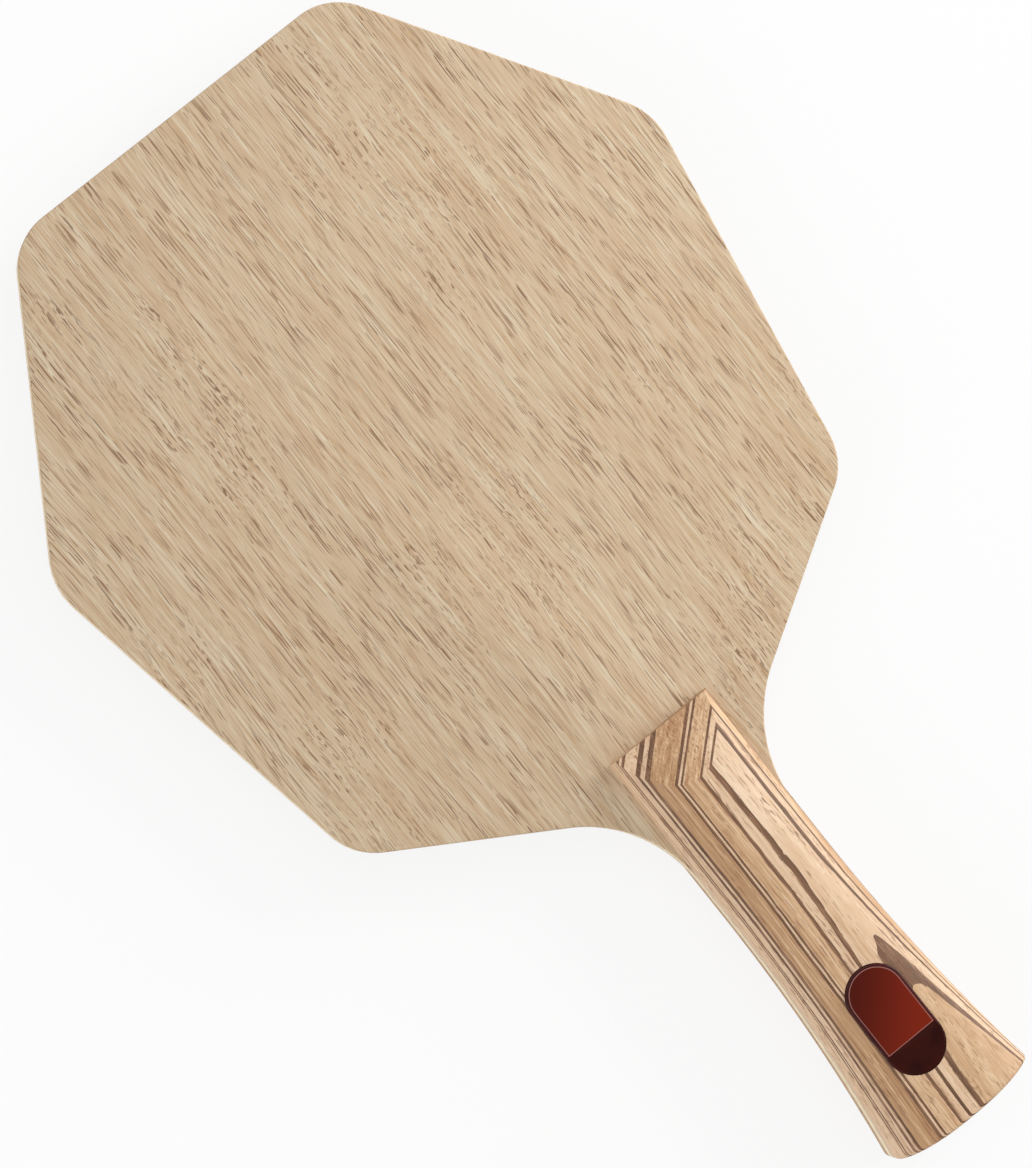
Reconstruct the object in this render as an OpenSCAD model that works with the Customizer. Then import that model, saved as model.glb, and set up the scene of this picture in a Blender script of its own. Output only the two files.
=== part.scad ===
// Table tennis paddle: a bare five-ply blade of six-sided outline, a flared handle made of
// two laminated halves, a badge set into the front of the handle and a weight coin in its butt.
//
// Frame: X across the paddle, +Y along the handle towards the tip, +Z out of the front face.
// The origin is the centre of the paddle's box, in the middle of the blade's thickness.
// The back half of the handle is the front half turned half a turn about the handle's axis.

/* [Blade outline] */
// Length of the playing face, from the tip edge to the front edge of the handle
blade_len = 157; // [140:0.5:175]
// Width of the tip edge, between its corners before they are rounded
tip_edge_w = 80.4; // [66:0.2:92]
// Width across the side corners before they are rounded
side_w = 155.3; // [144:0.1:165]
// Distance from the handle's front edge forward to the side corners
side_at = 97.6; // [85:0.2:110]
// Width across the shoulder corners before they are rounded
shoulder_w = 128; // [112:0.2:138]
// Distance from the handle's front edge forward to the shoulder corners
shoulder_at = 18; // [12:0.5:24]
// Slope of the lower edges, down from the shoulder corners to the neck, in degrees
shoulder_slope = 31.4; // [27:0.2:36]
// Rounding radius of the tip corners
tip_corner_r = 13; // [8:0.5:18]
// Rounding radius of the side corners
side_corner_r = 15; // [8:0.5:20]
// Rounding radius of the shoulder corners
shoulder_corner_r = 13; // [8:0.5:16]
// Radius of the hollow curve from the blade into the handle
neck_r = 29.5; // [22:0.5:34]

/* [Plies] */
// Thickness of each outer ply
outer_ply_t = 0.55; // [0.4:0.05:0.8]
// Thickness of each inner ply
inner_ply_t = 1; // [0.6:0.05:1.4]
// Thickness of the core ply
core_ply_t = 2.9; // [2:0.1:4]
// Height by which the ply under the handle stands proud of the sanded playing face
seat_raise = 0.1; // [0.05:0.01:0.2]

/* [Handle] */
// Length of the handle along its axis
handle_len = 101.1; // [90:0.1:108]
// Width of the handle's straight front stretch
handle_w = 25; // [22:0.1:27]
// Width of the butt
butt_w = 34.4; // [29:0.1:36]
// Length of the straight stretch, before the handle flares
straight_len = 40; // [34:0.5:46]
// Height of each half above its seat along the straight stretch
handle_h = 8; // [6.8:0.1:9.6]
// Height of each half above its seat at the butt
butt_h = 8.6; // [7.6:0.1:10]
// Height of the upright side walls
side_wall_h = 1.6; // [0.6:0.1:2.4]
// Roundness of the section along the straight stretch, where 2 is an ellipse and more is squarer
waist_roundness = 2.05; // [2:0.05:2.6]
// Roundness of the section at the butt
butt_roundness = 2.4; // [2:0.05:2.8]
// Height of the handle's front face
front_h = 4.1; // [3:0.1:5]
// Length of the bevel behind the front face
bevel_len = 12.8; // [9:0.1:16]
// How far the middle of the butt stands beyond its sides
butt_bow = 1.4; // [0.6:0.1:2.4]

/* [Lamination] */
// Tilt of the veneers across the handle, in degrees
veneer_tilt = 15; // [10:0.5:20]
// Thickness of the dark lines
dark_veneer_t = 0.19; // [0.15:0.01:0.24]
// Thickness of the broad dark lines
broad_veneer_t = 0.38; // [0.3:0.01:0.45]

/* [Badge] */
// Length of the badge
badge_len = 25.3; // [20:0.1:28]
// Width of the badge
badge_w = 13; // [10:0.1:14]
// Distance from the butt to the badge's centre
badge_from_butt = 25.6; // [22:0.1:32]
// Depth of the badge's recess below the handle's crown
badge_recess = 1.2; // [1:0.05:1.5]
// Gap between the badge and its recess
badge_gap = 0.05; // [0.02:0.01:0.15]
// Thickness of the adhesive pad
adhesive_t = 0.15; // [0.1:0.05:0.3]
// Thickness of the badge's base plate
badge_base_t = 0.9; // [0.8:0.05:1.2]
// Thickness of the raised panel
badge_panel_t = 0.35; // [0.2:0.05:0.45]
// Thickness of the foot below the panel
badge_foot_t = 0.2; // [0.1:0.05:0.3]
// Width of the rim left around the panel
badge_rim_w = 0.55; // [0.4:0.05:0.8]
// Length of the foot along the handle
badge_foot_len = 7.5; // [6.5:0.1:9]

/* [Weight coin] */
// Diameter of the weight coin
coin_d = 18; // [15:0.1:18.4]
// Thickness of the weight coin
coin_t = 3.6; // [3:0.1:4.5]
// Diameter of the inlaid face
coin_face_d = 14.6; // [12:0.1:14.8]
// Depth of the recess that holds the inlaid face
coin_face_recess = 0.3; // [0.2:0.05:0.5]
// Thickness of the inlaid face
coin_face_t = 0.25; // [0.15:0.05:0.3]
// Diameter of the hollow behind, which sets the coin's weight
coin_hollow_d = 10; // [6:0.1:12]
// Depth of the hollow behind
coin_hollow_t = 1.25; // [0.6:0.05:1.6]
// Gap around the coin in its cup
coin_gap = 0.1; // [0.05:0.01:0.2]
// Wall of the cup
cup_wall = 0.7; // [0.5:0.05:0.8]
// Thickness of the web between the coin and the magnet
cup_web = 0.6; // [0.4:0.05:1]
// Distance from the middle of the butt in to the cup's mouth
cup_inset = 0.6; // [0.4:0.1:1.2]
// Diameter of the magnet
magnet_d = 12; // [8:0.5:14]
// Thickness of the magnet
magnet_t = 1.5; // [1:0.1:2.5]
// Gap around the magnet in its pocket
magnet_gap = 0.05; // [0.02:0.01:0.1]

/* [Hidden] */
$fn = 96;
eps = 1;                                        // overshoot of cutting tools past a surface
arc_step = 6;                                   // degrees between the points of an outline's arcs
bow_facets = 256;                               // sides of the wide circle that bows the butt
flare_steps = 9;                                // stations along the flare
section_steps = 26;                             // steps around the handle's crown

blade_t = core_ply_t + 2 * (inner_ply_t + outer_ply_t);
face_z = blade_t / 2;
seat_z = face_z + seat_raise;
front_y = (handle_len - blade_len) / 2;
butt_y = front_y - handle_len;
flare_len = handle_len - straight_len;
flare_out = (butt_w - handle_w) / 2;
flare_r = (pow(flare_len, 2) + pow(flare_out, 2)) / (2 * flare_out);
bow_r = (pow(butt_w / 2, 2) + pow(butt_bow, 2)) / (2 * butt_bow);
stations = concat([0], [for (i = [0:flare_steps]) straight_len + flare_len * i / flare_steps]);

// Veneers from the crown down to the seat, as thickness and tone; the last one fills the rest
PALE = "burlywood";
TAN = "peru";
DARK = "saddlebrown";
thin_veneer_t = 0.19;
veneers = [
    [0.88, PALE], [0.25, DARK], [0.6, PALE], [dark_veneer_t, DARK], [0.44, PALE],
    [dark_veneer_t, DARK], [1.18, TAN], [dark_veneer_t, DARK], [thin_veneer_t, PALE],
    [0.26, DARK], [1.95, TAN], [broad_veneer_t, DARK], [0.35, PALE], [broad_veneer_t, DARK],
    [0.97, PALE], [0.22, DARK], [thin_veneer_t, PALE], [0.22, DARK], [0, PALE]
];
veneer_count = len(veneers);

badge_s = handle_len - badge_from_butt;         // badge centre, behind the handle's front edge
badge_y = front_y - badge_s;
recess_z = seat_z + crown_h(badge_s) - badge_recess;
cup_mouth_y = butt_y + cup_inset;
cup_id = coin_d + 2 * coin_gap;
cup_od = cup_id + 2 * cup_wall;
cup_len = coin_t + cup_web + magnet_t;

function two_digits(i) = str(i < 10 ? "0" : "", i);
function veneer_name(side, i) = str(side, "_veneer_", two_digits(i));

// ---- Handle: sizes at a distance s behind the handle's front edge ----

function flare(s) = max(0, s - straight_len);
function half_w(s) = handle_w / 2 + flare_r - sqrt(pow(flare_r, 2) - pow(flare(s), 2));
function crown_h(s) = handle_h + (butt_h - handle_h) * flare(s) / flare_len;
function roundness(s) = waist_roundness + (butt_roundness - waist_roundness) * flare(s) / flare_len;

// Section across one half: up one side wall, over the crown and down the other wall
function over_crown(s, angle) = [
    half_w(s) * sign(cos(angle)) * pow(abs(cos(angle)), 2 / roundness(s)),
    side_wall_h + (crown_h(s) - side_wall_h) * pow(abs(sin(angle)), 2 / roundness(s))
];
function section(s) = concat(
    [[half_w(s), 0]],
    [for (i = [0:section_steps]) over_crown(s, 180 * i / section_steps)],
    [[-half_w(s), 0]]
);

// Height of the crown measured square to the veneers, at the butt
butt_p = butt_roundness / (butt_roundness - 1);
stack_top = side_wall_h * cos(veneer_tilt)
    + pow(pow(butt_w / 2 * sin(veneer_tilt), butt_p)
        + pow((butt_h - side_wall_h) * cos(veneer_tilt), butt_p), 1 / butt_p);
function depth_above(i) = i == 0 ? 0 : veneers[i - 1][0] + depth_above(i - 1);

module half_blank() {
    ring = section_steps + 3;
    last = len(stations) - 1;
    points = [for (s = stations) for (p = section(s)) [p[0], front_y - s, seat_z + p[1]]];
    function at(j, i) = j * ring + i % ring;
    sides = [
        for (j = [0:last - 1]) for (i = [0:ring - 1]) for (half = [0, 1])
            half == 0 ? [at(j, i), at(j + 1, i + 1), at(j, i + 1)] : [at(j, i), at(j + 1, i), at(j + 1, i + 1)]
    ];
    front_cap = [for (i = [0:ring - 1]) i];
    butt_cap = [for (i = [ring - 1:-1:0]) last * ring + i];
    polyhedron(points, concat([front_cap], sides, [butt_cap]), convexity = 4);
}

// Takes away everything above the bevel that rises from the front face to the crown
module bevel_cut() {
    rise = handle_h - front_h;
    translate([0, front_y, seat_z + front_h])
        rotate([-atan2(rise, bevel_len), 0, 0])
            translate([-butt_w, -2 * bevel_len, 0]) cube([2 * butt_w, 3 * bevel_len, 2 * handle_h]);
}

// Takes away everything behind the bowed end of the butt
module butt_cut() {
    difference() {
        translate([-butt_w, butt_y - eps, -3 * butt_h]) cube([2 * butt_w, eps + 2 * butt_bow, 6 * butt_h]);
        translate([0, butt_y + bow_r, -4 * butt_h]) cylinder(r = bow_r, h = 8 * butt_h, $fn = bow_facets);
    }
}

// A cylinder along the handle's axis, from y towards the tip
module along_handle(y, d, len) {
    translate([0, y, 0]) rotate([-90, 0, 0]) cylinder(d = d, h = len);
}

module cup_hole() {
    along_handle(butt_y - eps, cup_od, eps + cup_inset + cup_len);
}

module veneer_slab(i) {
    below = depth_above(i) + veneers[i][0];
    top = i == 0 ? stack_top + 2 * handle_h : stack_top - depth_above(i);
    bottom = i == veneer_count - 1 ? -butt_w : stack_top - below;
    translate([0, 0, seat_z]) rotate([0, veneer_tilt, 0])
        translate([-butt_w, butt_y - eps, bottom])
            cube([2 * butt_w, handle_len + 2 * eps, top - bottom]);
}

module veneer(i) {
    difference() {
        intersection() {
            half_blank();
            veneer_slab(i);
        }
        bevel_cut();
        butt_cut();
        cup_hole();
    }
}

// i counts from 1 at the crown
module front_veneer(i) {
    color(veneers[i - 1][1]) difference() {
        veneer(i - 1);
        badge_recess_cut();
    }
}

module back_veneer(i) {
    color(veneers[i - 1][1]) rotate([0, 180, 0]) veneer(i - 1);
}

// ---- Blade ----

function unit(v) = v / norm(v);
function turned(angle) = [cos(angle), sin(angle)];
function heading(v) = atan2(v[1], v[0]);

// Points of an arc about c from angle a to angle b
function arc_points(c, r, a, b) =
    let (n = ceil(abs(b - a) / arc_step)) [for (i = [0:n]) c + r * turned(a + (b - a) * i / n)];

// Points of the rounding at corner p of an outline that runs anticlockwise from a through p to b
function rounded_corner(a, p, b, r) =
    let (
        u = unit(a - p), v = unit(b - p), half = acos(u * v) / 2,
        c = p + unit(u + v) * r / sin(half),
        start = heading(p + u * r / tan(half) - c), turn = 180 - 2 * half
    ) arc_points(c, r, start, start + turn);

// Right-hand side of the blade, from the butt up to the tip
neck_x = handle_w / 2 + neck_r;
neck_y = front_y + shoulder_at
    - (shoulder_w / 2 - neck_x) * tan(shoulder_slope) - neck_r / cos(shoulder_slope);
neck_end = [neck_x, neck_y] + neck_r * turned(90 + shoulder_slope);
shoulder = [shoulder_w / 2, front_y + shoulder_at];
side = [side_w / 2, front_y + side_at];
tip = [tip_edge_w / 2, front_y + blade_len];

function tang_side() =
    [for (i = [len(stations) - 1:-1:1]) [half_w(stations[i]), front_y - stations[i]]];
function blade_side() = concat(
    arc_points([neck_x, neck_y], neck_r, 180, 90 + shoulder_slope),
    rounded_corner(neck_end, shoulder, side, shoulder_corner_r),
    rounded_corner(shoulder, side, tip, side_corner_r),
    rounded_corner(side, tip, [-tip[0], tip[1]], tip_corner_r)
);
function mirrored(points) = [for (i = [len(points) - 1:-1:0]) [-points[i][0], points[i][1]]];

module blade_outline() {
    right = concat(tang_side(), blade_side());
    polygon(concat(right, mirrored(right)));
}

module seat_outline() {
    right = concat(tang_side(), [[handle_w / 2, front_y]]);
    polygon(concat(right, mirrored(right)));
}

// A ply from height z upwards
module ply(z, t) {
    difference() {
        translate([0, 0, z]) linear_extrude(t) children();
        butt_cut();
        cup_hole();
    }
}

module core_ply() {
    color("wheat") ply(-core_ply_t / 2, core_ply_t) blade_outline();
}

module front_inner_ply() {
    color("bisque") ply(core_ply_t / 2, inner_ply_t) blade_outline();
}

module back_inner_ply() {
    color("bisque") rotate([0, 180, 0]) ply(core_ply_t / 2, inner_ply_t) blade_outline();
}

module outer_ply() {
    ply(face_z - outer_ply_t, outer_ply_t) blade_outline();
    ply(face_z, seat_raise) seat_outline();
}

module front_outer_ply() {
    color("tan") outer_ply();
}

module back_outer_ply() {
    color("tan") rotate([0, 180, 0]) outer_ply();
}

// ---- Badge ----

// A stadium along Y about the origin, taken in by inset all round
module stadium(inset = 0) {
    r = badge_w / 2 - inset;
    reach = (badge_len - badge_w) / 2;
    square([2 * r, 2 * reach], center = true);
    for (end = [-reach, reach]) translate([0, end]) circle(r);
}

// A slice of the badge, from height z above the recess floor
module badge_slice(z, t) {
    translate([0, badge_y, recess_z + z]) linear_extrude(t) children();
}

module badge_recess_cut() {
    badge_slice(0, badge_recess + butt_h) stadium(-badge_gap);
}

// The half-plane towards the tip, beyond the foot
module beyond_foot(gap = 0) {
    translate([-badge_w, badge_foot_len - badge_len / 2 + gap]) square([2 * badge_w, badge_len]);
}

module badge_adhesive() {
    color("dimgray") badge_slice(0, adhesive_t) stadium(badge_rim_w);
}

module badge_base() {
    color("#2b0a10") badge_slice(adhesive_t, badge_base_t) stadium();
}

module badge_panel() {
    color("#7a1f08") badge_slice(adhesive_t + badge_base_t, badge_panel_t)
        intersection() {
            stadium(badge_rim_w);
            beyond_foot();
        }
}

module badge_foot() {
    color("#230503") badge_slice(adhesive_t + badge_base_t, badge_foot_t)
        difference() {
            stadium(badge_rim_w / 2);
            beyond_foot(-badge_gap);
        }
}

// ---- Weight coin and its socket ----

module weight_cup() {
    color("#1a1a1a") difference() {
        along_handle(cup_mouth_y, cup_od, cup_len);
        along_handle(cup_mouth_y - eps, cup_id, eps + coin_t);
        along_handle(cup_mouth_y + coin_t + cup_web, magnet_d + 2 * magnet_gap, magnet_t + eps);
    }
}

module cup_magnet() {
    color("lightsteelblue") along_handle(cup_mouth_y + coin_t + cup_web, magnet_d, magnet_t);
}

module coin_body() {
    color("silver") difference() {
        along_handle(cup_mouth_y, coin_d, coin_t);
        along_handle(cup_mouth_y - eps, coin_face_d, eps + coin_face_recess);
        along_handle(cup_mouth_y + coin_t - coin_hollow_t, coin_hollow_d, coin_hollow_t + eps);
    }
}

module coin_face() {
    color("#2a2a2c")
        along_handle(cup_mouth_y + coin_face_recess - coin_face_t, coin_face_d, coin_face_t);
}

core_ply();
front_inner_ply();
back_inner_ply();
front_outer_ply();
back_outer_ply();
for (i = [1:veneer_count]) {
    front_veneer(i);
    back_veneer(i);
}
badge_adhesive();
badge_base();
badge_panel();
badge_foot();
weight_cup();
cup_magnet();
coin_body();
coin_face();
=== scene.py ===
import math

import bmesh
import bpy
from mathutils import Matrix, Vector, noise


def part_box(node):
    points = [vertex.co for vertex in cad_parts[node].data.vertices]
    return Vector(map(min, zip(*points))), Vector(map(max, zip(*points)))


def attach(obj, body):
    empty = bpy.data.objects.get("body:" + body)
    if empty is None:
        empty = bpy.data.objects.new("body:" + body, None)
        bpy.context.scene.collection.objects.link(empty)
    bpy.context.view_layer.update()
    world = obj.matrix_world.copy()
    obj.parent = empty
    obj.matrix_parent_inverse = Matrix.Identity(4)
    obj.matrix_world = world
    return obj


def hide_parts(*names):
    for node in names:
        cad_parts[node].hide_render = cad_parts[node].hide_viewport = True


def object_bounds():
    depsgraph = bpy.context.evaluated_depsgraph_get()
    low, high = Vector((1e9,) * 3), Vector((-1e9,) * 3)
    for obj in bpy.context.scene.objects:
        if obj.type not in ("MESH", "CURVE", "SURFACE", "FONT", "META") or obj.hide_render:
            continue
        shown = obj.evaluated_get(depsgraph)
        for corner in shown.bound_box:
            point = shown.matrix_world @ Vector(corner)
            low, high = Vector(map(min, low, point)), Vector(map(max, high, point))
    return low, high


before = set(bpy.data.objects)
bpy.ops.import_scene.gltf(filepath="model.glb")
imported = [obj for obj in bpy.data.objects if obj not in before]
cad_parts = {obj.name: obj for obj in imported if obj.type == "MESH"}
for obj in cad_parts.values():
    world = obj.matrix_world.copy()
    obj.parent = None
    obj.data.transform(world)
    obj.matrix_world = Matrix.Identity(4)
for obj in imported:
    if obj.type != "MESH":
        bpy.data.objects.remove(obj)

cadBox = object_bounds()
mm = 0.001          # everything is shaped in millimetres and shrunk to metres when it is finished
scene = bpy.context.scene
scene.view_settings.view_transform = "Standard"


# Camera: almost straight above, with the handle's end towards the lower right
cameraSetup = {
    "target": (-3.95, 12.23, 0),
    "towards": (-0.125, 0.05, 1),
    "distance": 1200,
    "turn": 38.8,           # degrees that the handle's axis leans in the view
    "lens": 183.1,
    "clipStart": 0.05, "clipEnd": 50,
}
back = Vector(cameraSetup["towards"]).normalized()
turn = math.radians(cameraSetup["turn"])
right = Vector((math.sin(turn), math.cos(turn), 0)).cross(back).normalized()
cameraData = bpy.data.cameras.new("camera")
cameraData.lens = cameraSetup["lens"]
cameraData.clip_start, cameraData.clip_end = cameraSetup["clipStart"], cameraSetup["clipEnd"]
camera = bpy.data.objects.new("camera", cameraData)
scene.collection.objects.link(camera)
place = Matrix((right, back.cross(right), back)).transposed().to_4x4()
place.translation = (Vector(cameraSetup["target"]) + back * cameraSetup["distance"]) * mm
camera.matrix_world = place
scene.camera = camera
print("camera set")


def linear(colour):
    # sRGB hex to the linear values that the nodes use
    parts = [int(colour[i:i + 2], 16) / 255 for i in (1, 3, 5)]
    return [p / 12.92 if p <= 0.04045 else ((p + 0.055) / 1.055) ** 2.4 for p in parts] + [1]


def add(tree, kind, sockets=None, out=0, **settings):
    # adds one node with its settings and with values or links in its sockets, and gives back an output
    node = tree.nodes.new("ShaderNode" + kind)
    for key, value in settings.items():
        setattr(node, key, value)
    for socket, value in (sockets or {}).items():
        if isinstance(value, bpy.types.NodeSocket):
            tree.links.new(value, node.inputs[socket])
        else:
            node.inputs[socket].default_value = value
    return node.outputs[out]


def newMaterial(name):
    material = bpy.data.materials.new(name)
    material.use_nodes = True
    tree = material.node_tree
    return material, tree, tree.nodes["Principled BSDF"]


# Where along a noise's range each pattern of a wood starts and ends
grainSpans = {
    "wander": (0.2, 0.8), "wave": (0.2, 0.8), "figure": (0.5, 0.62), "longDash": (0.42, 0.5),
    "shortDash": (0.45, 0.53), "crowd": (0.3, 0.62), "poreWidth": 0.07,
}


def grainedWood(name, look):
    # A sliced wood with its grain along Y. Each pattern is noise drawn out along the grain, and the look
    # gives its size across and along in millimetres. "layered" is how much wider than thick a layer is.
    material, tree, shader = newMaterial(name)
    vector = add(tree, "Mapping", {
        0: add(tree, "TexCoord", out="Object"), 1: look["shift"], 2: (0, -math.radians(look["tilt"]), 0)
    })
    noises = {}
    for i, (part, detail, widen) in enumerate((
        ("wander", 1, 1), ("figure", 1, 1), ("wave", 0, 1), ("crowd", 1, 1), ("band", 2, look["layered"]),
        ("streak", 2, look["layered"]), ("fibre", 1, 1), ("pore", 0, 1), ("otherPore", 0, 1),
        ("longDash", 0, 1), ("shortDash", 0, 1),
    )):
        if part == "band":
            # from here on the patterns follow the grain, which wanders, and waves where the wood is figured
            moves = {}
            for move in ("wander", "wave"):
                low, high = grainSpans[move]
                by = look[move + "By"] * mm
                moves[move] = add(tree, "MapRange", {0: noises[move], 1: low, 2: high, 3: -by, 4: by})
            low, high = grainSpans["figure"]
            figured = add(tree, "MapRange", {0: noises["figure"], 1: low, 2: high},
                          interpolation_type="SMOOTHSTEP")
            sideways = add(tree, "Math", {0: moves["wave"], 1: figured, 2: moves["wander"]},
                           operation="MULTIPLY_ADD")
            aside = add(tree, "CombineXYZ", {0: sideways})
            vector = add(tree, "VectorMath", {0: vector, 1: aside}, operation="ADD")
        across, along = look[part]
        stretched = add(tree, "Mapping", {
            0: vector, 1: (0.31 * i, 0.57 * i, 0.235 * i),      # each pattern reads its own part of the noise
            3: (1 / (across * widen * mm), 1 / (along * mm), 1 / (across * mm)),
        })
        noises[part] = add(tree, "TexNoise", {
            "Vector": stretched, "Scale": 1, "Detail": detail, "Roughness": 0.6
        })

    # tone: 0 is the dark early wood and 1 the pale late wood
    tone = 0
    for part in ("band", "streak", "fibre"):
        tone = add(tree, "Math", {0: noises[part], 1: look[part + "Share"], 2: tone}, operation="MULTIPLY_ADD")
    half = (look["bandShare"] + look["streakShare"] + look["fibreShare"]) / 2
    tone = add(tree, "MapRange", {0: tone, 1: half - look["spread"], 2: half + look["spread"]},
               interpolation_type="SMOOTHSTEP")
    lower = add(tree, "MapRange", {0: tone, 1: 0, 2: 0.5}, interpolation_type="SMOOTHSTEP")
    upper = add(tree, "MapRange", {0: tone, 1: 0.5, 2: 1}, interpolation_type="SMOOTHSTEP")
    colour = add(tree, "Mix", {0: lower, 6: linear(look["dark"]), 7: linear(look["middle"])},
                 out=2, data_type="RGBA")
    colour = add(tree, "Mix", {0: upper, 6: colour, 7: linear(look["pale"])}, out=2, data_type="RGBA")

    # pores: thin lines broken into dashes, long where the grain is straight and short where it waves
    lines = add(tree, "Math", {0: noises["pore"], 1: noises["otherPore"]}, operation="MAXIMUM")
    lines = add(tree, "MapRange", {0: lines, 1: look["poreFrom"], 2: look["poreFrom"] + grainSpans["poreWidth"]},
                interpolation_type="SMOOTHSTEP")
    shaped = {}
    for part, least in (("longDash", 0), ("shortDash", 0), ("crowd", look["crowdLow"])):
        low, high = grainSpans[part]
        shaped[part] = add(tree, "MapRange", {0: noises[part], 1: low, 2: high, 3: least},
                           interpolation_type="SMOOTHSTEP")
    dashes = add(tree, "Mix", {0: figured, 2: shaped["longDash"], 3: shaped["shortDash"]})
    pores = add(tree, "Math", {0: lines, 1: dashes}, operation="MULTIPLY")
    pores = add(tree, "Math", {0: pores, 1: shaped["crowd"]}, operation="MULTIPLY")
    share = add(tree, "Math", {0: pores, 1: look["poreShare"]}, operation="MULTIPLY")
    colour = add(tree, "Mix", {0: share, 6: colour, 7: linear(look["poreTone"])}, out=2, data_type="RGBA")

    height = add(tree, "Math", {0: noises["fibre"], 1: 0.25}, operation="MULTIPLY")
    height = add(tree, "Math", {0: height, 1: pores}, operation="SUBTRACT")
    bump = add(tree, "Bump", {"Strength": look["bump"], "Distance": 0.06 * mm, "Height": height})
    rough = add(tree, "MapRange", {0: tone, 3: look["rough"] + 0.06, 4: look["rough"] - 0.06})
    tree.links.new(colour, shader.inputs["Base Color"])
    tree.links.new(rough, shader.inputs["Roughness"])
    tree.links.new(bump, shader.inputs["Normal"])
    shader.inputs["IOR"].default_value = 1.5
    shader.inputs["Specular IOR Level"].default_value = look["gloss"]
    return material


# Open-pored veneer, sliced and sanded but not varnished: a matt tan face full of brown pore dashes
faceLook = {
    "dark": "#bd9d79", "middle": "#ccb394", "pale": "#dbccb1", "poreTone": "#6f4526",
    "tilt": 0, "layered": 1, "shift": (0, 0, 0),
    "wander": (26, 60), "wanderBy": 1, "figure": (24, 36), "wave": (9, 8), "waveBy": 0.26,
    "band": (8, 130), "bandShare": 0.2, "streak": (1.6, 30), "streakShare": 0.28,
    "fibre": (0.3, 11), "fibreShare": 0.8, "spread": 0.36,
    "pore": (0.2, 12), "otherPore": (0.17, 9), "crowd": (3, 14), "crowdLow": 0.35,
    "poreFrom": 0.62, "poreShare": 0.74, "longDash": (0.36, 3.6), "shortDash": (0.36, 1.6),
    "rough": 0.62, "bump": 0.35, "gloss": 0.25,
}
faceVeneer = grainedWood("sandedOpenPoredVeneer", faceLook)
backVeneer = grainedWood("sandedOpenPoredVeneerBack", {**faceLook, "shift": (0.31, 0.17, 0.4)})

# Poplar-like inner plies, cut cleanly at the rim: straw-coloured edges with fine lines and few pores
rimLook = {
    **faceLook, "dark": "#caac80", "middle": "#dcc49a", "pale": "#e9d7b5", "poreTone": "#9a784f",
    "band": (0.5, 60), "streak": (0.25, 16), "fibre": (0.3, 5), "pore": (0.3, 4), "otherPore": (0.3, 4),
    "poreFrom": 0.6, "poreShare": 0.6, "bump": 0.25, "shift": (0.2, 0.5, 0.3),
}
rimWood = grainedWood("paleInnerPly", rimLook)
# Light core ply: the same cut edge, a shade creamier
coreLook = {**rimLook, "dark": "#e3cfa9", "middle": "#f0e1c6", "pale": "#f7eddb", "shift": (0.6, 0.1, 0.7)}
coreWood = grainedWood("lightCorePly", coreLook)

# Pale ash-like veneer of the handle, sanded smooth: creamy, soft-grained, with sparse brown flecks
paleLook = {
    "dark": "#c39c78", "middle": "#d9b897", "pale": "#ead0b2", "poreTone": "#80553a",
    "tilt": 15, "layered": 14, "shift": (0, 0, 0),
    "wander": (10, 34), "wanderBy": 0.6, "figure": (20, 40), "wave": (6, 6), "waveBy": 0.15,
    "band": (0.4, 60), "bandShare": 0.6, "streak": (0.17, 34), "streakShare": 0.5,
    "fibre": (0.26, 5), "fibreShare": 0.4, "spread": 0.33,
    "pore": (0.24, 5), "otherPore": (0.24, 5), "crowd": (3, 12), "crowdLow": 0.1,
    "poreFrom": 0.63, "poreShare": 0.75, "longDash": (0.5, 2.4), "shortDash": (0.5, 1.4),
    "rough": 0.5, "bump": 0.4, "gloss": 0.3,
}
paleWood = grainedWood("paleHandleVeneer", paleLook)
# The outermost veneer is cut almost along its growth layers, which draws nested arches near the butt
crownLook = {
    **paleLook, "dark": "#b48a65", "middle": "#cba781", "pale": "#dfc19f",
    "band": (0.3, 80), "poreShare": 0.55,
}
crownWood = grainedWood("archedHandleVeneer", crownLook)
# Tan veneer between the thin dark ones: warmer, with orange-brown streaks along the grain
tanLook = {
    **paleLook, "dark": "#9d7350", "middle": "#bd946d", "pale": "#dab893", "poreTone": "#83523a",
    "band": (0.35, 70), "streak": (0.14, 40), "streakShare": 0.65, "fibreShare": 0.35, "spread": 0.3,
    "poreShare": 0.55, "shift": (0.1, 0.3, 0.2),
}
tanWood = grainedWood("tanHandleVeneer", tanLook)
# A lighter tan veneer higher in the stack
honeyLook = {**tanLook, "dark": "#b28761", "middle": "#d0aa84", "pale": "#e6caa7", "shift": (0.3, 0.7, 0.1)}
honeyWood = grainedWood("honeyHandleVeneer", honeyLook)
# Thin smoked veneer: the dark brown pinstripes
darkLook = {
    **paleLook, "dark": "#59402e", "middle": "#73523b", "pale": "#967055", "poreTone": "#4a2e1e",
    "fibreShare": 0.8, "poreShare": 0.5, "shift": (0.4, 0.2, 0.5),
}
darkWood = grainedWood("smokedVeneer", darkLook)


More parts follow.
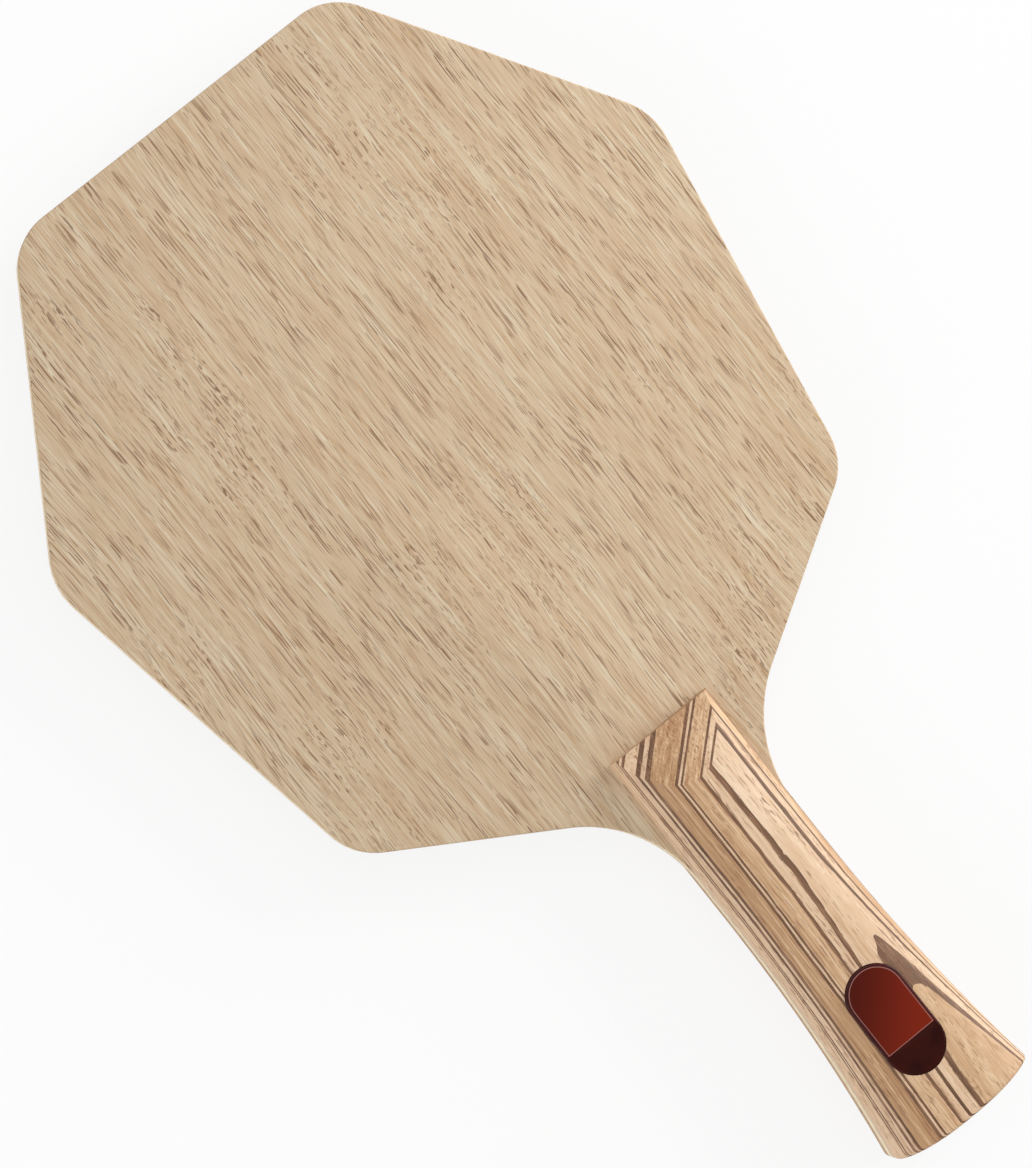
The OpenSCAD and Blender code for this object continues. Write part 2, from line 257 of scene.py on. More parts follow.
def smoothPlastic(name, colour, second, roughness, shine, mottle, bumpSize, bumpStrength, paintedLightFade=None):
    # two close tones clouded together, with a faint unevenness in the gloss; paintedLightFade gives painted
    # light instead of the clouding: a direction, and the places along it where the second tone starts and is full
    material, tree, shader = newMaterial(name)
    place = add(tree, "TexCoord", out="Object")
    cloud = add(tree, "TexNoise", {"Vector": place, "Scale": 1 / (mottle * mm), "Detail": 3})
    share = add(tree, "MapRange", {0: cloud, 1: 0.35, 2: 0.65})
    if paintedLightFade:
        # painted light: the tone turns from the first to the second from one corner to the other, for a
        # reflection
        along = add(tree, "VectorMath", {0: place, 1: paintedLightFade[0]}, out="Value", operation="DOT_PRODUCT")
        share = add(tree, "MapRange", {0: along, 1: paintedLightFade[1], 2: paintedLightFade[2]}, interpolation_type="SMOOTHSTEP")
    mixed = add(tree, "Mix", {0: share, 6: linear(colour), 7: linear(second)}, out=2, data_type="RGBA")
    rough = add(tree, "MapRange", {0: cloud, 1: 0.3, 2: 0.7, 3: roughness * 0.85, 4: roughness * 1.2})
    fine = add(tree, "TexNoise", {"Vector": place, "Scale": 1 / (bumpSize * mm), "Detail": 2})
    bump = add(tree, "Bump", {"Strength": bumpStrength, "Distance": 0.02 * mm, "Height": fine})
    tree.links.new(mixed, shader.inputs["Base Color"])
    tree.links.new(rough, shader.inputs["Roughness"])
    tree.links.new(bump, shader.inputs["Normal"])
    shader.inputs["IOR"].default_value = 1.49
    shader.inputs["Specular IOR Level"].default_value = shine
    return material


# Moulded acrylic, polished: the deep red-brown face of the badge, painted lighter towards one corner for a
# reflection
panelPlastic = smoothPlastic("redBrownAcrylic", "#4c1004", "#7a200a", 0.16, 0.09, 14, 0.9, 0.2,
                             paintedLightFade=((50, -50, 0), 4.4, 5.7))
# The same acrylic tinted nearly black: the badge's base plate, and its foot
basePlastic = smoothPlastic("darkMaroonAcrylic", "#351113", "#471b18", 0.2, 0.12, 6, 0.9, 0.2)
footPlastic = smoothPlastic("blackenedAcrylic", "#270603", "#380d05", 0.14, 0.07, 6, 0.9, 0.15)
# Foam tape that holds the badge down: dull dark grey
tapeFoam = smoothPlastic("foamTape", "#4d4d4f", "#5a5a5c", 0.85, 0.1, 0.6, 0.3, 0.8)
# Injection-moulded nylon of the weight's cup: black with a fine spark-eroded texture
cupNylon = smoothPlastic("blackNylon", "#1b1b1c", "#242425", 0.5, 0.3, 5, 0.25, 0.6)
# Printed enamel inlay of the weight coin: a smooth soft black
inlayEnamel = smoothPlastic("blackEnamel", "#262628", "#303033", 0.28, 0.3, 3, 0.4, 0.2)


def brightMetal(name, colour, second, roughness, ringWidth, hazeSize):
    # turned metal: fine lathe rings about the handle's axis, drawn coarser than real so that they show
    material, tree, shader = newMaterial(name)
    place = add(tree, "TexCoord", out="Object")
    flat = add(tree, "VectorMath", {0: place, 1: (1, 0, 1)}, operation="MULTIPLY")
    radius = add(tree, "VectorMath", {0: flat}, out="Value", operation="LENGTH")
    rings = add(tree, "CombineXYZ", {0: radius})
    ringNoise = add(tree, "TexNoise", {"Vector": rings, "Scale": 1 / (ringWidth * mm), "Detail": 2})
    haze = add(tree, "TexNoise", {"Vector": place, "Scale": 1 / (hazeSize * mm), "Detail": 3})
    mixed = add(tree, "Mix", {0: haze, 6: linear(colour), 7: linear(second)}, out=2, data_type="RGBA")
    rough = add(tree, "MapRange", {0: haze, 1: 0.3, 2: 0.7, 3: roughness * 0.75, 4: roughness * 1.3})
    bump = add(tree, "Bump", {"Strength": 0.3, "Distance": 0.01 * mm, "Height": ringNoise})
    tree.links.new(mixed, shader.inputs["Base Color"])
    tree.links.new(rough, shader.inputs["Roughness"])
    tree.links.new(bump, shader.inputs["Normal"])
    shader.inputs["Metallic"].default_value = 1
    return material


# Polished stainless steel of the coin, and the satin nickel plate of the magnet
coinSteel = brightMetal("polishedSteel", "#c9c9cb", "#b9babd", 0.18, 0.25, 4)
magnetNickel = brightMetal("nickelPlate", "#b7b4ac", "#a5a29b", 0.3, 0.3, 3)
# Painted highlight: a thin pinkish metal line round the badge panel's raised edges, for the light caught on its
# bevel
paintedEdgeHighlight = brightMetal("paintedRosyEdgeHighlight", "#9a7874", "#84605c", 0.3, 0.4, 3)
print("materials made")


def pieceFrom(bm, name):
    # cuts and bevels number their points differently each run, so here they get one fixed order
    bmesh.ops.recalc_face_normals(bm, faces=bm.faces[:])
    bm.verts.index_update()
    verts = sorted(([round(c, 4) for c in vert.co], vert.index, vert) for vert in bm.verts)
    number = {vert: i for i, (_, _, vert) in enumerate(verts)}
    faces = []
    for face in bm.faces:
        ring = [number[vert] for vert in face.verts]
        first = ring.index(min(ring))
        faces.append((ring[first:] + ring[:first], face.material_index))
    faces.sort()
    mesh = bpy.data.meshes.new(name)
    mesh.from_pydata([place for place, _, _ in verts], [], [ring for ring, _ in faces])
    mesh.polygons.foreach_set("material_index", [index for _, index in faces])
    bm.free()
    piece = bpy.data.objects.new(name, mesh)
    scene.collection.objects.link(piece)
    return piece


def carve(piece, cutters):
    for cutter in cutters:
        step = piece.modifiers.new("carve", "BOOLEAN")
        step.operation, step.solver, step.object = "DIFFERENCE", "MANIFOLD", cutter
    ready = piece.evaluated_get(bpy.context.evaluated_depsgraph_get())
    shaped = bpy.data.meshes.new_from_object(ready)
    shaped.materials.clear()
    piece.modifiers.clear()
    piece.data = shaped


def settle(piece, materials, body, nodes=(), sharp=32):
    # shrinks a piece to metres, shades it and fixes it to its body
    piece.data.transform(Matrix.Scale(mm, 4))
    for material in materials:
        piece.data.materials.append(material)
    for face in piece.data.polygons:
        face.use_smooth = True
    piece.data.set_sharp_from_angle(angle=math.radians(sharp))
    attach(piece, body)
    if nodes:
        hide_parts(*nodes)


def heightened(bm, thickness, rounding=0, segments=3):
    # gives the flat face in bm its thickness upwards, and rounds its upper rim
    raised = bmesh.ops.extrude_face_region(bm, geom=bm.faces[:], use_keep_orig=True)["geom"]
    upper = [g for g in raised if isinstance(g, bmesh.types.BMVert)]
    bmesh.ops.translate(bm, vec=(0, 0, thickness), verts=upper)
    if rounding:
        top = [g for g in raised if isinstance(g, bmesh.types.BMFace)]
        rim = {edge for face in top for edge in face.edges if any(f not in top for f in edge.link_faces)}
        bmesh.ops.bevel(bm, geom=list(rim), offset=rounding, segments=segments, profile=0.5,
                        affect="EDGES", material=-1, clamp_overlap=True)
    return bm


def turned(profile, steps=96, rounding=0.12, segments=2):
    # a profile of (radius, y) spun about the handle's axis, with its sharp edges broken
    bm = bmesh.new()
    verts = [bm.verts.new((r, y, 0)) for r, y in profile]
    for pair in zip(verts, verts[1:]):
        bm.edges.new(pair)
    bmesh.ops.spin(bm, geom=bm.verts[:] + bm.edges[:], cent=(0, 0, 0), axis=(0, 1, 0), dvec=(0, 0, 0),
                   angle=2 * math.pi, steps=steps, use_merge=True, use_duplicate=False)
    bmesh.ops.remove_doubles(bm, verts=bm.verts[:], dist=0.001)
    bmesh.ops.recalc_face_normals(bm, faces=bm.faces[:])
    edges = [edge for edge in bm.edges if len(edge.link_faces) == 2 and edge.calc_face_angle(0) > 0.7]
    bmesh.ops.bevel(bm, geom=edges, offset=rounding, segments=segments, profile=0.5,
                    affect="EDGES", material=-1, clamp_overlap=True)
    return bm


blade = {
    "tipEdge": 80.4, "sideWidth": 155.3, "sideAt": 97.6, "shoulderWidth": 128, "shoulderAt": 18,
    "shoulderSlope": 31.4, "tipCorner": 13, "sideCorner": 15, "shoulderCorner": 13, "neckRadius": 29.5,
    "outerPly": 0.55, "innerPly": 1, "corePly": 2.9, "rimRounding": 0.35, "hairline": 0.1,
}
handle = {
    "width": 25, "buttWidth": 34.4, "straight": 40, "height": 8, "buttHeight": 8.6, "sideWall": 1.6,
    "roundness": 2.05, "buttRoundness": 2.4, "frontHeight": 4.1, "bevelLength": 12.8, "bow": 1.4,
    "bowFade": 34,                              # how far up the handle its rows still follow the bow
    "leftCorner": 1.9, "rightCorner": 0.9,        # rounding of the butt's two sides
    "crownRounding": 0.7,                       # rounding over the butt's upper edge
    "columns": 64, "rows": 56, "cornerRows": 9,
    "veneerTilt": 15,                           # slant of the veneers over the handle, in degrees
    "waver": 0.1,
    "boreOvershoot": 2,                         # how far the cup's cutter reaches out of the butt
}
coreLow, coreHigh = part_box("core_ply")
veneerLow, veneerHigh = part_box("front_veneer_19")
tipY, buttY, frontY = coreHigh.y / mm, coreLow.y / mm, veneerHigh.y / mm
seatZ = veneerLow.z / mm
faceZ = blade["corePly"] / 2 + blade["innerPly"] + blade["outerPly"]
handleLength = frontY - buttY
flareLength = handleLength - handle["straight"]
flareOut = (handle["buttWidth"] - handle["width"]) / 2
flareRadius = (flareLength ** 2 + flareOut ** 2) / (2 * flareOut)
bowRadius = ((handle["buttWidth"] / 2) ** 2 + handle["bow"] ** 2) / (2 * handle["bow"])


def halfWidth(s):
    down = max(0, s - handle["straight"])
    return handle["width"] / 2 + flareRadius - math.sqrt(flareRadius ** 2 - down ** 2)


def bowAt(x):
    return bowRadius - math.sqrt(bowRadius ** 2 - x ** 2)


def roundedCorner(bm, before, at, after, radius):
    # one vertex spun about the centre of a corner's rounding
    before, at, after = (Vector((*p, 0)) for p in (before, at, after))
    u, v = (before - at).normalized(), (after - at).normalized()
    half = u.angle(v) / 2
    centre = at + (u + v).normalized() * radius / math.sin(half)
    first = bm.verts.new(at + u * radius / math.tan(half))
    sweep = (math.pi - 2 * half) * (1 if (at - before).cross(after - at).z > 0 else -1)
    spun = bmesh.ops.spin(bm, geom=[first], cent=centre, axis=(0, 0, 1), dvec=(0, 0, 0), angle=sweep,
                          steps=max(6, round(abs(sweep) * radius / 0.9)), use_duplicate=False)
    return first, spun["geom_last"][0]


def outlineSide(bm, side, cornerRadius, upTo):
    # one side of an outline, from the middle of the butt upwards; side is 1 or -1
    half = handle["width"] / 2
    straightY = frontY - handle["straight"]
    cornerX = halfWidth(handleLength - handle["bow"])
    cornerY = buttY + bowAt(cornerX)
    middle = bm.verts.new((0, buttY, 0))
    bowed = bmesh.ops.spin(bm, geom=[middle], cent=(0, buttY + bowRadius, 0), axis=(0, 0, 1), dvec=(0, 0, 0),
                           angle=side * math.asin((cornerX - cornerRadius) / bowRadius), steps=10,
                           use_duplicate=False)["geom_last"][0]
    flareStart = bm.verts.new((side * half, straightY, 0))
    down = flareLength - handle["bow"] - cornerRadius
    flared = bmesh.ops.spin(bm, geom=[flareStart], cent=(side * (half + flareRadius), straightY, 0),
                            axis=(0, 0, 1), dvec=(0, 0, 0), angle=side * math.asin(down / flareRadius),
                            steps=30, use_duplicate=False)["geom_last"][0]
    corner = roundedCorner(bm, bowed.co.xy, (side * cornerX, cornerY), flared.co.xy, cornerRadius)
    chain = [bowed, *corner, flared]
    bm.edges.new(chain[:2])
    bm.edges.new(chain[2:])
    if upTo == "seat":
        last = flareStart
        for point in ((side * half, frontY), (0, frontY)):
            following = bm.verts.new((*point, 0))
            bm.edges.new((last, following))
            last = following
        return
    shoulder = (side * blade["shoulderWidth"] / 2, frontY + blade["shoulderAt"])
    drop = (blade["shoulderWidth"] / 2 - half) * math.tan(math.radians(blade["shoulderSlope"]))
    corners = [
        ((side * half, shoulder[1] - drop), blade["neckRadius"]),
        (shoulder, blade["shoulderCorner"]),
        ((side * blade["sideWidth"] / 2, frontY + blade["sideAt"]), blade["sideCorner"]),
        ((side * blade["tipEdge"] / 2, tipY), blade["tipCorner"]),
    ]
    points = [flareStart.co.xy] + [corner[0] for corner in corners] + [(0, tipY)]
    last = flareStart
    for i, (at, radius) in enumerate(corners):
        first, end = roundedCorner(bm, points[i], at, points[i + 2], radius)
        bm.edges.new((last, first))
        last = end
    bm.edges.new((last, bm.verts.new((0, tipY, 0))))


def outlineFace(upTo):
    bm = bmesh.new()
    outlineSide(bm, 1, handle["rightCorner"], upTo)
    outlineSide(bm, -1, handle["leftCorner"], upTo)
    bmesh.ops.remove_doubles(bm, verts=bm.verts[:], dist=0.05)
    bmesh.ops.contextual_create(bm, geom=bm.edges[:])
    bmesh.ops.recalc_face_normals(bm, faces=bm.faces[:])
    return bm


# Cutter for the weight cup's bore, used on the plies and on the veneers it crosses
cupLow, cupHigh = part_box("weight_cup")
cupRadius = (cupHigh.x - cupLow.x) / 2 / mm
bore = bmesh.new()
bmesh.ops.create_cone(bore, cap_ends=True, segments=128, radius1=cupRadius, radius2=cupRadius,
                      depth=cupHigh.y / mm - buttY + handle["boreOvershoot"])
bmesh.ops.rotate(bore, cent=(0, 0, 0), matrix=Matrix.Rotation(math.radians(90), 3, "X"), verts=bore.verts[:])
bmesh.ops.translate(bore, vec=(0, (cupHigh.y / mm + buttY - handle["boreOvershoot"]) / 2, 0), verts=bore.verts[:])
boreCutter = pieceFrom(bore, "boreCutter")

coreTop = blade["corePly"] / 2
innerTop = coreTop + blade["innerPly"]
plies = [
    # piece, CAD node, height of its lower side, thickness, material, slot
    ("corePly", "core_ply", -coreTop, blade["corePly"], coreWood, "core_ply"),
    ("front-innerPly", "front_inner_ply", coreTop, blade["innerPly"], rimWood, "inner_ply"),
    ("back-innerPly", "back_inner_ply", -innerTop, blade["innerPly"], rimWood, "inner_ply"),
    ("front-outerPly", "front_outer_ply", innerTop, blade["outerPly"], faceVeneer, "face_ply"),
    ("back-outerPly", "back_outer_ply", innerTop, blade["outerPly"], backVeneer, "face_ply"),
]
for name, node, low, thickness, material, slotName in plies:
    outer = slotName == "face_ply"
    bm = heightened(outlineFace("tip"), thickness, blade["rimRounding"] if outer else 0)
    if outer:
        # the unsanded veneer under the handle stands a little proud
        pad = bpy.data.meshes.new("pad")
        seat = heightened(outlineFace("seat"), seatZ - faceZ)
        bmesh.ops.translate(seat, vec=(0, 0, thickness), verts=seat.verts[:])
        seat.to_mesh(pad)
        seat.free()
        bm.from_mesh(pad)
    else:
        # a hair of rounding on both rims shows where the glue lines are
        rim = [edge for edge in bm.edges if edge.calc_face_angle(0) > 1.2
               and abs(edge.verts[0].co.z - edge.verts[1].co.z) < 0.01]
        bmesh.ops.bevel(bm, geom=rim, offset=blade["hairline"], segments=1, profile=0.5,
                        affect="EDGES", material=-1, clamp_overlap=True)
    bmesh.ops.translate(bm, vec=(0, 0, low), verts=bm.verts[:])
    if name == "back-outerPly":
        bmesh.ops.scale(bm, vec=(1, 1, -1), verts=bm.verts[:])
    ply = pieceFrom(bm, name)
    carve(ply, [boreCutter])
    settle(ply, [material], "paddle", [node], sharp=40)
print("blade made")


veneers = [
    # thickness and wood, from the crown down; the last one fills the rest
    (0.915, "crown"), (0.262, "dark"), (0.553, "pale"), (0.19, "dark"), (0.44, "pale"), (0.19, "dark"),
    (1.18, "honey"), (0.19, "dark"), (0.19, "pale"), (0.26, "dark"), (1.95, "tan"), (0.38, "dark"),
    (0.35, "pale"), (0.38, "dark"), (0.97, "pale"), (0.22, "dark"), (0.19, "pale"), (0.22, "dark"),
    (0, "pale"),
]
woods = {
    # material and slot of each wood
    "crown": (crownWood, "pale_veneer"), "pale": (paleWood, "pale_veneer"), "tan": (tanWood, "tan_veneer"),
    "honey": (honeyWood, "tan_veneer"), "dark": (darkWood, "dark_veneer"),
}
tilt = math.radians(handle["veneerTilt"])
power = handle["buttRoundness"] / (handle["buttRoundness"] - 1)
# height of the top of the stack of veneers, measured square to them
stackTop = handle["sideWall"] * math.cos(tilt) + (
    (handle["buttWidth"] / 2 * math.sin(tilt)) ** power
    + ((handle["buttHeight"] - handle["sideWall"]) * math.cos(tilt)) ** power) ** (1 / power)
veneerUp = Vector((math.sin(tilt), 0, math.cos(tilt)))


def eased(e, radius):
    # how far a rounded edge pulls in at a distance e from the end
    return 0 if e >= radius else radius - math.sqrt(radius ** 2 - (radius - e) ** 2)


def halfSolid(leftCorner, rightCorner):
    # a slab of columns standing on the seat; each column's top takes the height of the crown
    rows, cornerRows = handle["rows"], handle["cornerRows"]
    deepest = max(leftCorner, rightCorner)
    distances = [deepest * (1 - math.cos(math.radians(90 * i / cornerRows))) for i in range(cornerRows + 1)]
    distances += [distances[-1] + (handleLength - distances[-1]) * i / rows for i in range(1, rows + 1)]
    bm = bmesh.new()
    bmesh.ops.create_grid(bm, x_segments=handle["columns"], y_segments=len(distances) - 1, size=1)
    raised = bmesh.ops.extrude_face_region(bm, geom=bm.faces[:], use_keep_orig=True)["geom"]
    crowned = {g for g in raised if isinstance(g, bmesh.types.BMVert)}
    for vert in bm.verts:
        angle = math.radians(90 * (1 - vert.co.x))
        e = distances[round((vert.co.y + 1) / 2 * (len(distances) - 1))]
        x = halfWidth(handleLength - e) * math.cos(angle)
        y = buttY + e + bowAt(x) * max(0, 1 - e / handle["bowFade"])
        s = min(handleLength, max(0, frontY - y))
        share = max(0, s - handle["straight"]) / flareLength
        crown = handle["height"] + (handle["buttHeight"] - handle["height"]) * share
        n = handle["roundness"] + (handle["buttRoundness"] - handle["roundness"]) * share
        x = halfWidth(s) * math.copysign(abs(math.cos(angle)) ** (2 / n), math.cos(angle))
        z = handle["sideWall"] + (crown - handle["sideWall"]) * abs(math.sin(angle)) ** (2 / n)
        x *= 1 - eased(e, rightCorner if x > 0 else leftCorner) / halfWidth(s)
        z *= 1 - eased(e, handle["crownRounding"]) / crown
        vert.co = (x, y, z if vert in crowned else 0)
    bmesh.ops.recalc_face_normals(bm, faces=bm.faces[:])
    return bm


def waver(p, seed):
    # the veneers aren't dead flat, so their edges wander a little over the crown
    broad = noise.noise(Vector((p.x / 9, p.y / 21, p.z / 1.6 + seed)))
    fine = noise.noise(Vector((p.x / 2.4, p.y / 3.4, p.z / 1.1 + seed + 40)))
    return handle["waver"] * (broad + 0.45 * fine)


def sliced(bm, point, normal):
    # cuts away what is beyond a plane and closes the cut
    cut = bmesh.ops.bisect_plane(bm, geom=bm.verts[:] + bm.edges[:] + bm.faces[:], dist=1e-5,
                                 plane_co=point, plane_no=normal, clear_outer=True)["geom_cut"]
    edges = [g for g in cut if isinstance(g, bmesh.types.BMEdge)]
    if edges:
        bmesh.ops.holes_fill(bm, edges=edges, sides=0)


def stadiumFace(radius, reach, steps=28):
    # a flat shape with straight sides and round ends: two vertices spun, and joined
    bm = bmesh.new()
    ends = []
    for side in (1, -1):
        first = bm.verts.new((side * radius, side * reach, 0))
        last = bmesh.ops.spin(bm, geom=[first], cent=(0, side * reach, 0), axis=(0, 0, 1), dvec=(0, 0, 0),
                              angle=math.pi, steps=steps, use_duplicate=False)["geom_last"][0]
        ends.append((first, last))
    bm.edges.new((ends[0][1], ends[1][0]))
    bm.edges.new((ends[1][1], ends[0][0]))
    bmesh.ops.contextual_create(bm, geom=bm.edges[:])
    bmesh.ops.recalc_face_normals(bm, faces=bm.faces[:])
    return bm


badge = {
    "crown": 0.12, "panelRounding": 0.16, "baseRounding": 0.3, "footRounding": 0.08, "tapeRounding": 0.04,
    # width of the painted highlight line round the panel's top
    "highlightLineWidth": 0.13,
    "play": 0.05, "cutterHeight": 12,       # for the recess that is cut for it
}
baseLow, baseHigh = (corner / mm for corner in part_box("badge_base"))
badgeY = (baseLow.y + baseHigh.y) / 2
badgeRadius = (baseHigh.x - baseLow.x) / 2
badgeReach = (baseHigh.y - baseLow.y) / 2 - badgeRadius
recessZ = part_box("badge_adhesive")[0].z / mm
recess = heightened(stadiumFace(badgeRadius + badge["play"], badgeReach), badge["cutterHeight"])
bmesh.ops.translate(recess, vec=(0, badgeY, recessZ), verts=recess.verts[:])
recessCutter = pieceFrom(recess, "recessCutter")

for front in (True, False):
    corners = (handle["leftCorner"], handle["rightCorner"])
    master = halfSolid(*(corners if front else corners[::-1]))
    seed = 3 if front else 17
    rise = handle["height"] - handle["frontHeight"]
    sliced(master, (0, frontY, handle["frontHeight"]), Vector((0, rise, handle["bevelLength"])).normalized())
    for vert in master.verts:
        vert.co.z += waver(vert.co, seed)
    depth = 0
    for i, (thickness, wood) in enumerate(veneers):
        bm = master.copy()
        if i:
            sliced(bm, veneerUp * (stackTop - depth), veneerUp)
        depth += thickness
        if i < len(veneers) - 1:
            sliced(bm, veneerUp * (stackTop - depth), -veneerUp)
        for vert in bm.verts:
            wavy = vert.co.z
            for _ in range(4):
                vert.co.z = wavy - waver(vert.co, seed)
        bmesh.ops.dissolve_degenerate(bm, dist=1e-4, edges=bm.edges[:])
        bmesh.ops.translate(bm, vec=(0, 0, seatZ), verts=bm.verts[:])
        if not front:
            bmesh.ops.rotate(bm, cent=(0, 0, 0), matrix=Matrix.Rotation(math.pi, 3, "Y"), verts=bm.verts[:])
        side = "front" if front else "back"
        veneer = pieceFrom(bm, f"{side}-veneer{i + 1:02d}")
        carve(veneer, [boreCutter, recessCutter] if front else [boreCutter])
        material, slotName = woods[wood]
        settle(veneer, [material], "paddle", [f"{side}_veneer_{i + 1:02d}"], sharp=38)
    master.free()
print("handle made")



def crowned(bm, top, amount, inside=1):
    # insets the top face in steps and lets it fall towards its sides
    for _ in range(5):
        bmesh.ops.inset_region(bm, faces=[top], thickness=inside, depth=0, use_even_offset=True)
    for vert in bm.verts:
        if vert.co.z > 0.01:
            vert.co.z -= amount * (vert.co.x / badgeRadius) ** 2


def badgePiece(name, bm, z, materials, nodes):
    bmesh.ops.translate(bm, vec=(0, badgeY, z), verts=bm.verts[:])
    settle(pieceFrom(bm, name), materials, "paddle", nodes, sharp=50)


tapeLow, tapeHigh = (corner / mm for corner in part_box("badge_adhesive"))
tape = stadiumFace((tapeHigh.x - tapeLow.x) / 2, badgeReach)
heightened(tape, tapeHigh.z - tapeLow.z, badge["tapeRounding"], 2)
badgePiece("badgeTape", tape, tapeLow.z, [tapeFoam], ["badge_adhesive"])
base = stadiumFace(badgeRadius, badgeReach)
heightened(base, baseHigh.z - baseLow.z, badge["baseRounding"], 4)
badgePiece("badgeBase", base, baseLow.z, [basePlastic], ["badge_base"])

panelLow, panelHigh = (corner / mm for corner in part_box("badge_panel"))
panelRadius = (panelHigh.x - panelLow.x) / 2
footLow, footHigh = (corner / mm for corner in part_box("badge_foot"))
footRadius = (footHigh.x - footLow.x) / 2


def badgePart(radius, cutY, keepAbove, thickness, rounding):
    # a stadium cut straight across, then raised; returns its bmesh and its top face
    bm = stadiumFace(radius, badgeReach)
    bmesh.ops.bisect_plane(bm, geom=bm.verts[:] + bm.edges[:] + bm.faces[:], dist=1e-5,
                           plane_co=(0, cutY - badgeY, 0), plane_no=(0, -1 if keepAbove else 1, 0),
                           clear_outer=True)
    heightened(bm, thickness, rounding, 3)
    return bm, max(bm.faces, key=lambda face: face.calc_center_median().z * 100 + face.calc_area())


bm, top = badgePart(panelRadius, panelLow.y, True, panelHigh.z - panelLow.z, badge["panelRounding"])
for face in bm.faces:
    face.material_index = 0
# painted highlight: a thin ring round the edge of the panel's top gets the pale pinkish metal
bmesh.ops.inset_region(bm, faces=[top], thickness=badge["highlightLineWidth"], depth=0, use_even_offset=True)
for face in {f for edge in top.edges for f in edge.link_faces} - {top}:
    face.material_index = 1
crowned(bm, top, badge["crown"])
badgePiece("badgePanel", bm, panelLow.z, [panelPlastic, paintedEdgeHighlight], ["badge_panel"])

bm, top = badgePart(footRadius, footHigh.y, False, footHigh.z - footLow.z, badge["footRounding"])
badgePiece("badgeFoot", bm, footLow.z, [footPlastic], ["badge_foot"])
print("badge made")


coin = {
    "numeral": "6", "numeralSize": 7.5, "numeralHeight": 0.03, "numeralLift": 0.02,
    "reeds": 90, "reedDepth": 0.07,
    "hollowRadius": 5, "hollowDepth": 1.25,     # the hollow behind, which makes it the lighter weight
    "play": 0.1, "magnetPlay": 0.05,
}

magnetLow, magnetHigh = (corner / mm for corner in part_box("cup_magnet"))
coinLow, coinHigh = (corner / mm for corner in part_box("coin_body"))
inlayLow, inlayHigh = (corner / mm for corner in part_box("coin_face"))
mouth, cupEnd = cupLow.y / mm, cupHigh.y / mm
magnetRadius = magnetHigh.x
coinRadius = coinHigh.x
inlayRadius = inlayHigh.x
boreRadius = coinRadius + coin["play"]
magnetSeat = magnetRadius + coin["magnetPlay"]
hollowEnd = coinHigh.y - coin["hollowDepth"]

settle(pieceFrom(turned([
    (0, coinHigh.y), (boreRadius, coinHigh.y), (boreRadius, mouth), (cupRadius, mouth), (cupRadius, cupEnd),
    (magnetSeat, cupEnd), (magnetSeat, magnetLow.y), (0, magnetLow.y),
]), "weightCup"), [cupNylon], "paddle", ["weight_cup"])
settle(pieceFrom(turned([
    (0, magnetLow.y), (magnetRadius, magnetLow.y), (magnetRadius, magnetHigh.y), (0, magnetHigh.y),
], rounding=0.25, segments=3), "cupMagnet"), [magnetNickel], "paddle", ["cup_magnet"])

bm = turned([
    (0, inlayHigh.y), (inlayRadius, inlayHigh.y), (inlayRadius, coinLow.y), (coinRadius, coinLow.y),
    (coinRadius, coinHigh.y), (coin["hollowRadius"], coinHigh.y), (coin["hollowRadius"], hollowEnd),
    (0, hollowEnd),
], steps=coin["reeds"] * 2, rounding=0.2, segments=3)
for vert in bm.verts:
    # reeding: every other line of the rim lies a little deeper
    reach = math.hypot(vert.co.x, vert.co.z)
    step = round(math.atan2(vert.co.z, vert.co.x) / math.pi * coin["reeds"])
    if reach > coinRadius - 0.05 and step % 2:
        vert.co.x *= 1 - coin["reedDepth"] / reach
        vert.co.z *= 1 - coin["reedDepth"] / reach
settle(pieceFrom(bm, "coinBody"), [coinSteel], "coin", ["coin_body"], sharp=35)
settle(pieceFrom(turned([
    (0, inlayLow.y), (inlayRadius, inlayLow.y), (inlayRadius, inlayHigh.y), (0, inlayHigh.y),
], rounding=0.05), "coinInlay"), [inlayEnamel], "coin", ["coin_face"])

# a plain numeral for the coin's weight, standing on the inlay and level with the rim
letters = bpy.data.curves.new("numeral", "FONT")
letters.body, letters.size = coin["numeral"], coin["numeralSize"]
letters.align_x, letters.align_y = "CENTER", "CENTER"
letters.extrude, letters.resolution_u = coin["numeralHeight"], 6
writing = bpy.data.objects.new("numeralText", letters)
scene.collection.objects.link(writing)
bm = bmesh.new()
bm.from_mesh(bpy.data.meshes.new_from_object(writing.evaluated_get(bpy.context.evaluated_depsgraph_get())))
bpy.data.objects.remove(writing)
bmesh.ops.remove_doubles(bm, verts=bm.verts[:], dist=0.001)
bmesh.ops.rotate(bm, cent=(0, 0, 0), matrix=Matrix.Rotation(math.radians(90), 3, "X"), verts=bm.verts[:])
bmesh.ops.translate(bm, vec=(0, inlayLow.y - coin["numeralLift"], 0), verts=bm.verts[:])
settle(pieceFrom(bm, "coinNumeral"), [coinSteel], "coin")
for cutter in (boreCutter, recessCutter):
    bpy.data.objects.remove(cutter)
print("weight coin made")


studio = {
    "floorZ": cadBox[0].z / mm - 0.05, "floorSize": 8,
    "worldLevel": 0.5, "shadowShare": 0.16,
    # each light: where it stands in metres, its size, and its power
    "lights": {
        "rightLight": ((1.2, 0.05, 0.42), 0.8, 16),
        "leftLight": ((-1.15, 0, 0.6), 0.8, 6),
        "topLight": ((0.1, 0.5, 1.8), 1.2, 3),
    },
}


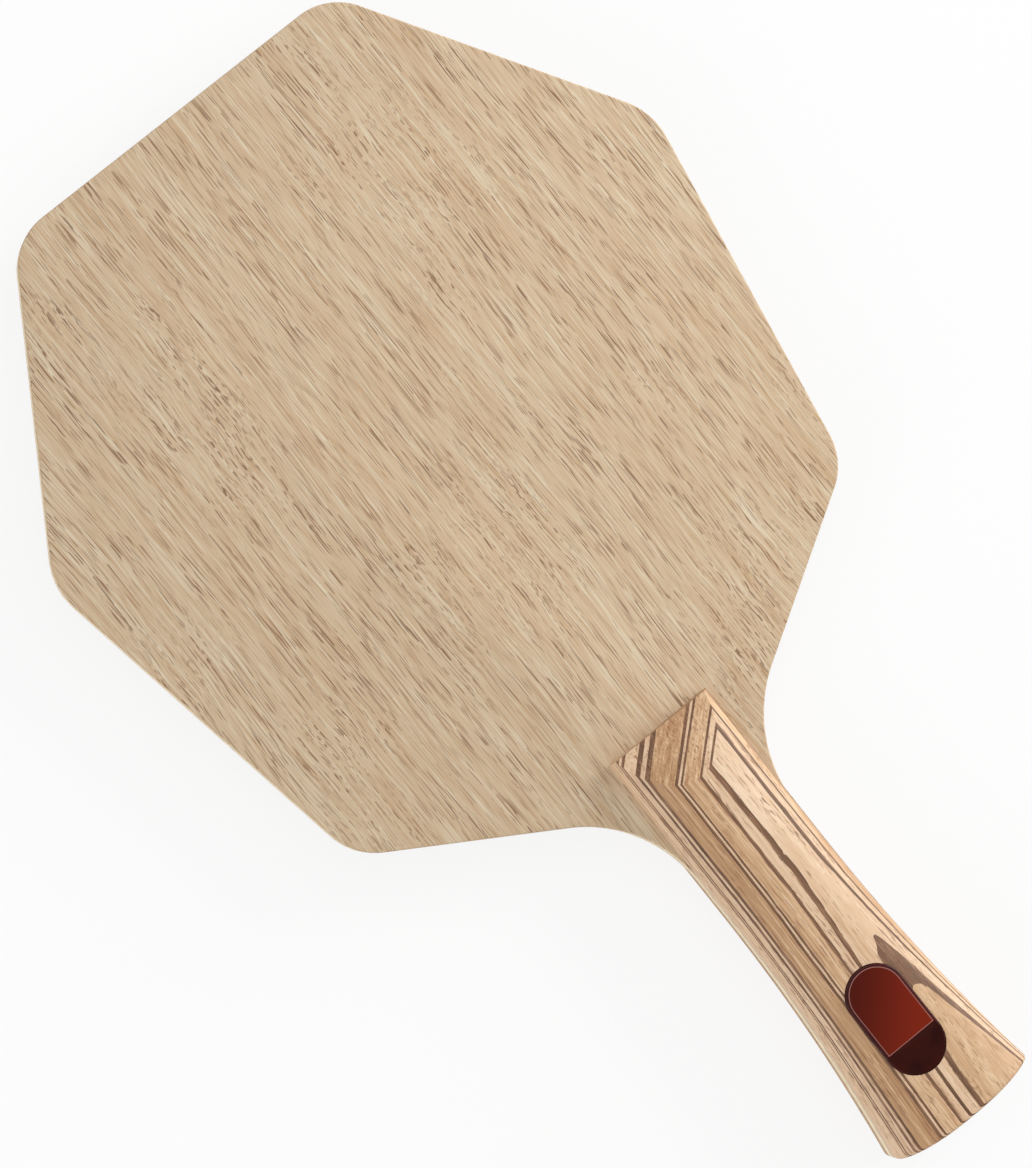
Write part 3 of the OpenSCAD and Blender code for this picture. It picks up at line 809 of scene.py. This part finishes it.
def seenAs(tree):
    # 1 where the camera sees a surface straight, in a reflection or through something clear
    rays = add(tree, "LightPath").node.outputs
    seen = add(tree, "Math", {0: rays["Is Camera Ray"], 1: rays["Is Glossy Ray"]}, operation="MAXIMUM")
    return add(tree, "Math", {0: seen, 1: rays["Is Transmission Ray"]}, operation="MAXIMUM")


bm = bmesh.new()
bmesh.ops.create_grid(bm, x_segments=1, y_segments=1, size=studio["floorSize"] / 2 / mm)
bmesh.ops.translate(bm, vec=(0, 0, studio["floorZ"]), verts=bm.verts[:])
floor = pieceFrom(bm, "floor")
floor.data.transform(Matrix.Scale(mm, 4))
# Matt white board: seen as white, and it keeps the object's soft shadow; its underside is clear
board, tree, shader = newMaterial("whiteBoard")
shader.inputs["Base Color"].default_value = linear("#f2f2f2")
shader.inputs["Roughness"].default_value = 0.9
shader.inputs["Specular IOR Level"].default_value = 0
share = add(tree, "Math", {0: seenAs(tree), 1: 1 - studio["shadowShare"]}, operation="MULTIPLY")
white = add(tree, "Emission", {"Color": (1, 1, 1, 1), "Strength": 1})
upper = add(tree, "MixShader", {0: share, 1: shader.outputs[0], 2: white})
under = add(tree, "NewGeometry", out="Backfacing")
both = add(tree, "MixShader", {0: under, 1: upper, 2: add(tree, "BsdfTransparent")})
tree.links.new(both, tree.nodes["Material Output"].inputs["Surface"])
floor.data.materials.append(board)

world = bpy.data.worlds.new("studioWorld")
scene.world = world
world.use_nodes = True
tree = world.node_tree
light = tree.nodes["Background"]
light.inputs["Color"].default_value = (1, 1, 1, 1)
light.inputs["Strength"].default_value = studio["worldLevel"]
white = add(tree, "Background", {"Color": (1, 1, 1, 1), "Strength": 1})
mixed = add(tree, "MixShader", {0: seenAs(tree), 1: light.outputs[0], 2: white})
tree.links.new(mixed, tree.nodes["World Output"].inputs["Surface"])

for name, (start, size, power) in studio["lights"].items():
    data = bpy.data.lights.new(name, "AREA")
    data.shape, data.size, data.energy = "SQUARE", size, power
    lamp = bpy.data.objects.new(name, data)
    lamp.location = start
    lamp.rotation_euler = Vector(start).to_track_quat("Z", "Y").to_euler()
    lamp.visible_camera = False
    scene.collection.objects.link(lamp)
print("studio made")
